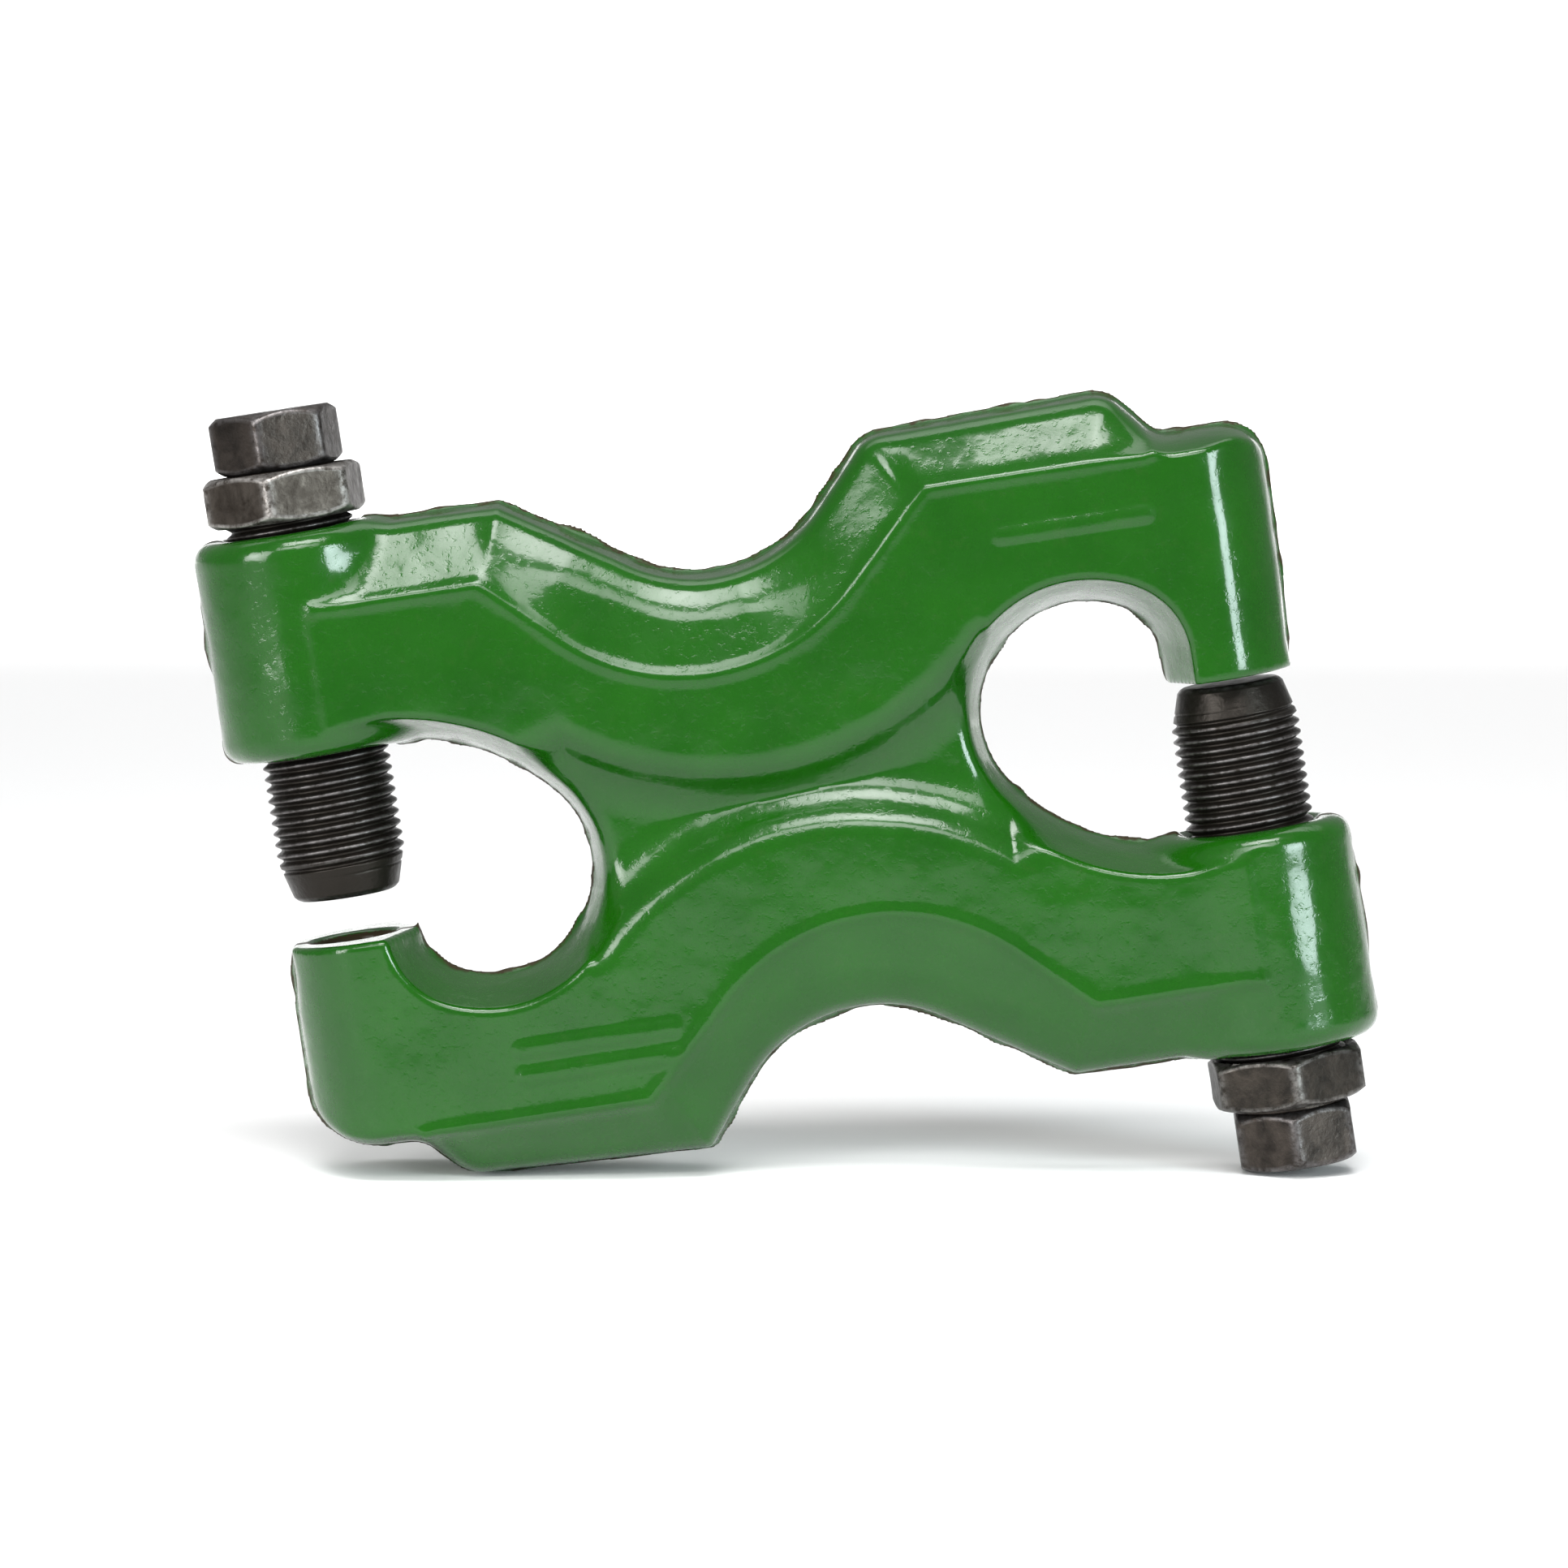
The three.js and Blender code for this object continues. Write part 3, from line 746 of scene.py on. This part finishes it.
def ramp(tree, value, low, high, out_low=0.0, out_high=1.0):
    """The value, taken from the range low to high to the range out_low to out_high and held there."""
    node = tree.nodes.new("ShaderNodeMapRange")
    node.inputs["From Min"].default_value = low
    node.inputs["From Max"].default_value = high
    node.inputs["To Min"].default_value = out_low
    node.inputs["To Max"].default_value = out_high
    tree.links.new(value, node.inputs["Value"])
    return node.outputs["Result"]


def maths(tree, operation, a, b):
    node = tree.nodes.new("ShaderNodeMath")
    node.operation = operation
    for socket, value in zip(node.inputs, (a, b)):
        if isinstance(value, (int, float)):
            socket.default_value = value
        else:
            tree.links.new(value, socket)
    return node.outputs["Value"]


def blend_colour(tree, factor, a, b):
    node = tree.nodes.new("ShaderNodeMix")
    node.data_type = "RGBA"
    tree.links.new(factor, node.inputs["Factor"])
    for socket, value in ((node.inputs["A"], a), (node.inputs["B"], b)):
        if isinstance(value, tuple):
            socket.default_value = (*value, 1)
        else:
            tree.links.new(value, socket)
    return node.outputs["Result"]


def bump(tree, height, distance, strength, under=None):
    """A normal tilted by a height, in metres per unit, on top of another normal."""
    node = tree.nodes.new("ShaderNodeBump")
    node.inputs["Distance"].default_value = distance
    node.inputs["Strength"].default_value = strength
    tree.links.new(height, node.inputs["Height"])
    if under is not None:
        tree.links.new(under, node.inputs["Normal"])
    return node.outputs["Normal"]


def attribute(tree, name):
    node = tree.nodes.new("ShaderNodeAttribute")
    node.attribute_name = name
    return node.outputs["Fac"]


def object_position(tree):
    return tree.nodes.new("ShaderNodeTexCoord").outputs["Object"]


ENAMEL_DEEP = (0.0038, 0.056, 0.0008)
ENAMEL_PALE = (0.0060, 0.070, 0.0014)
ENAMEL_SPECK = (0.018, 0.065, 0.008)
# dark brown of bare iron in the sockets and on the parting line, where it is also painted shade along the
# edge walls
BARE_IRON_AND_SHADE = (0.030, 0.022, 0.010)
FLOOR_COLOUR = (0.93, 0.93, 0.93, 1)


def enamel_material():
    """Thick glossy green enamel with an orange-peel skin, dark brown along the parting line: partly iron
    worn bare on the seam, partly painted shade that darkens the edge walls round the outline.
    """
    material, tree, shader = new_material("green_enamel")
    where = object_position(tree)
    patches = ramp(tree, noise_node(tree, where, 70, 3), 0.3, 0.7)
    specks = ramp(tree, noise_node(tree, where, 420, 4, 0.6), 0.58, 0.74)
    green = blend_colour(tree, patches, ENAMEL_DEEP, ENAMEL_PALE)
    green = blend_colour(tree, maths(tree, "MULTIPLY", specks, 0.3), green, ENAMEL_SPECK)
    ragged = ramp(tree, noise_node(tree, where, 300, 5, 0.65), 0.3, 0.7, -0.25, 0.25)
    # painted shade: a ragged dark brown band along the parting line round the outline, partly worn bare
    # iron
    seam_and_shade = ramp(tree, maths(tree, "ADD", attribute(tree, "seam_and_shade"), ragged), 0.42, 0.62)
    colour = blend_colour(tree, seam_and_shade, green, BARE_IRON_AND_SHADE)
    tree.links.new(colour, shader.inputs["Base Color"])
    rough = ramp(tree, noise_node(tree, where, 300, 5, 0.6), 0.3, 0.75, 0.20, 0.36)
    rough = maths(tree, "ADD", rough, maths(tree, "MULTIPLY", seam_and_shade, 0.3))
    tree.links.new(rough, shader.inputs["Roughness"])
    shader.inputs["Specular IOR Level"].default_value = 0.1
    coat = maths(tree, "SUBTRACT", 0.8, maths(tree, "MULTIPLY", seam_and_shade, 0.7))
    tree.links.new(coat, shader.inputs["Coat Weight"])
    shader.inputs["Coat Roughness"].default_value = 0.10
    pits = ramp(tree, noise_node(tree, where, 900, 3, 0.6), 0.25, 0.45)
    normal = bump(tree, noise_node(tree, where, 150, 2), 0.0006, 0.15)
    normal = bump(tree, noise_node(tree, where, 520, 3, 0.5), 0.00015, 0.14, normal)
    normal = bump(tree, pits, 0.0001, 0.2, normal)
    tree.links.new(normal, shader.inputs["Normal"])
    tree.links.new(normal, shader.inputs["Coat Normal"])
    return material


def steel_material(name, dark, light, bare, roughness, worn, thread=None):
    """Blackened steel: mottled oxide, with bare metal showing along worn edges.

    A screw's thread has its own colour, away from the head.
    """
    material, tree, shader = new_material(name)
    where = object_position(tree)
    mottle = ramp(tree, noise_node(tree, where, 260, 5, 0.6, 0.6), 0.32, 0.68)
    oxide = blend_colour(tree, mottle, dark, light)
    if thread is not None:
        oxide = blend_colour(tree, attribute(tree, "head"), thread, oxide)
    scratches = noise_node(tree, where, 650, 5, 0.7)
    edge = maths(tree, "MULTIPLY", attribute(tree, "wear"), ramp(tree, scratches, 0.35, 0.6))
    edge = maths(tree, "MULTIPLY", edge, worn)
    tree.links.new(blend_colour(tree, edge, oxide, bare), shader.inputs["Base Color"])
    shader.inputs["Metallic"].default_value = 0.75
    rough = ramp(tree, noise_node(tree, where, 480, 4, 0.6), 0.3, 0.7, *roughness)
    tree.links.new(rough, shader.inputs["Roughness"])
    normal = bump(tree, noise_node(tree, where, 900, 4, 0.6), 0.0002, 0.5)
    tree.links.new(normal, shader.inputs["Normal"])
    return material


# ---- floor and lights, in metres ----

FLOOR_HALF = 6.0
FLOOR_FRONT = -3.0
FLOOR_BACK = 5.0
FLOOR_BEND = 0.4
FLOOR_TOP = 0.9
BEND_STEPS = 12
WORLD_STRENGTH = 0.28


def add_stage():
    """A pale sheet that lies under the clamp and sweeps up far behind it."""
    profile = [(FLOOR_FRONT, 0.0), (FLOOR_BACK - FLOOR_BEND, 0.0)]
    for step in range(1, BEND_STEPS + 1):
        turn = step / BEND_STEPS * math.pi / 2
        profile.append((FLOOR_BACK - FLOOR_BEND * (1 - math.sin(turn)), FLOOR_BEND * (1 - math.cos(turn))))
    profile.append((FLOOR_BACK, FLOOR_TOP))
    points = [(x, y, z) for y, z in profile for x in (-FLOOR_HALF, FLOOR_HALF)]
    faces = [(2 * i, 2 * i + 1, 2 * i + 3, 2 * i + 2) for i in range(len(profile) - 1)]
    mesh = bpy.data.meshes.new("floor")
    mesh.from_pydata(points, [], faces)
    mesh.polygons.foreach_set("use_smooth", [True] * len(faces))
    floor = bpy.data.objects.new("floor", mesh)
    bpy.context.scene.collection.objects.link(floor)
    material, _, shader = new_material("pale_floor")
    shader.inputs["Base Color"].default_value = FLOOR_COLOUR
    shader.inputs["Roughness"].default_value = 0.9
    shader.inputs["Specular IOR Level"].default_value = 0.1
    mesh.materials.append(material)


def add_light(name, location, size, power, spread=60, tint=(1, 1, 1)):
    """A soft rectangular light that faces down until it is turned."""
    light = bpy.data.lights.new(name, "AREA")
    light.shape = "RECTANGLE"
    light.size, light.size_y = size
    light.energy = power
    light.spread = math.radians(spread)
    light.color = tint
    lamp = bpy.data.objects.new(name, light)
    lamp.location = location
    bpy.context.scene.collection.objects.link(lamp)
    return lamp


def add_clamp_light(name, azimuth, elevation, distance, size, power, tint=(1, 1, 1)):
    """A light that faces the clamp; azimuth 0 is in front, positive to the right."""
    turn, rise = math.radians(azimuth), math.radians(elevation)
    way = Vector((math.sin(turn) * math.cos(rise), -math.cos(turn) * math.cos(rise), math.sin(rise)))
    lamp = add_light(name, Vector(middle) + distance * way, size, power, tint=tint)
    look_at(lamp, Vector(middle))


def add_lights():
    """Broad soft lights from in front and above, and white light on the floor and far behind."""
    world = bpy.data.worlds.new("world")
    world.use_nodes = True
    background = world.node_tree.nodes["Background"]
    background.inputs["Color"].default_value = (1, 1, 1, 1)
    background.inputs["Strength"].default_value = WORLD_STRENGTH
    bpy.context.scene.world = world
    add_clamp_light("key", azimuth=0, elevation=38, distance=1.3, size=(1.1, 0.36), power=1.15)
    add_clamp_light("top_softbox", azimuth=4, elevation=62, distance=1.2, size=(0.75, 0.40), power=1.5)
    add_clamp_light("right_strip", azimuth=46, elevation=8, distance=1.3, size=(0.45, 0.6), power=1.7,
                    tint=(0.82, 0.96, 1))
    add_clamp_light("left_panel", azimuth=-44, elevation=10, distance=1.3, size=(0.60, 0.9), power=2.3)
    add_light("floor_wash", (0, 2.1, 1.6), size=(3.6, 3.6), power=29, spread=90)
    backdrop = add_light("backdrop", (0, 2.451, 2.120), size=(4.0, 1.5), power=150, spread=180)
    backdrop.rotation_euler = (math.radians(60), 0, 0)  # towards the rising end of the floor


# ---- assembly ----

HEAD_TURNS = {"left": math.radians(18.5), "right": math.radians(32.5)}
NUT_TURNS = {"left": math.radians(23), "right": math.radians(27)}
NUT_SEEDS = {"left": 21, "right": 31}
NUT_SLOTS = {"left": "nut_worn_steel", "right": "nut_black_oxide"}

enamel = enamel_material()
screw_steel = steel_material(
    "screw_black_oxide", dark=(0.012, 0.009, 0.007), light=(0.044, 0.035, 0.029),
    bare=(0.16, 0.15, 0.15), roughness=(0.30, 0.46), worn=0.8, thread=(0.017, 0.014, 0.011))
nut_steels = {
    "left": steel_material(
        NUT_SLOTS["left"], dark=(0.018, 0.013, 0.009), light=(0.062, 0.052, 0.043),
        bare=(0.42, 0.40, 0.38), roughness=(0.30, 0.50), worn=1.0),
    "right": steel_material(
        NUT_SLOTS["right"], dark=(0.010, 0.008, 0.006), light=(0.036, 0.029, 0.023),
        bare=(0.20, 0.19, 0.18), roughness=(0.32, 0.50), worn=0.9),
}

points, quads, seam_and_shade = build_casting()
casting = add_piece("clamp_casting", points, [quads], "clamp_body", "clamp_body",
                    {"seam_and_shade": seam_and_shade})
casting.data.materials.append(enamel)
for side, word in ((-1, "left"), (1, "right")):
    node = f"{word}_set_screw"
    screw = add_screw(side, f"{word}_threaded_screw", node, node, HEAD_TURNS[word])
    screw.data.materials.append(screw_steel)
    node = f"{word}_lock_nut"
    nut = add_nut(side, f"{word}_hex_nut", node, node, NUT_TURNS[word], NUT_SEEDS[word])
    nut.data.materials.append(nut_steels[word])

add_stage()
add_lights()
bpy.context.scene.view_settings.view_transform = "Standard"
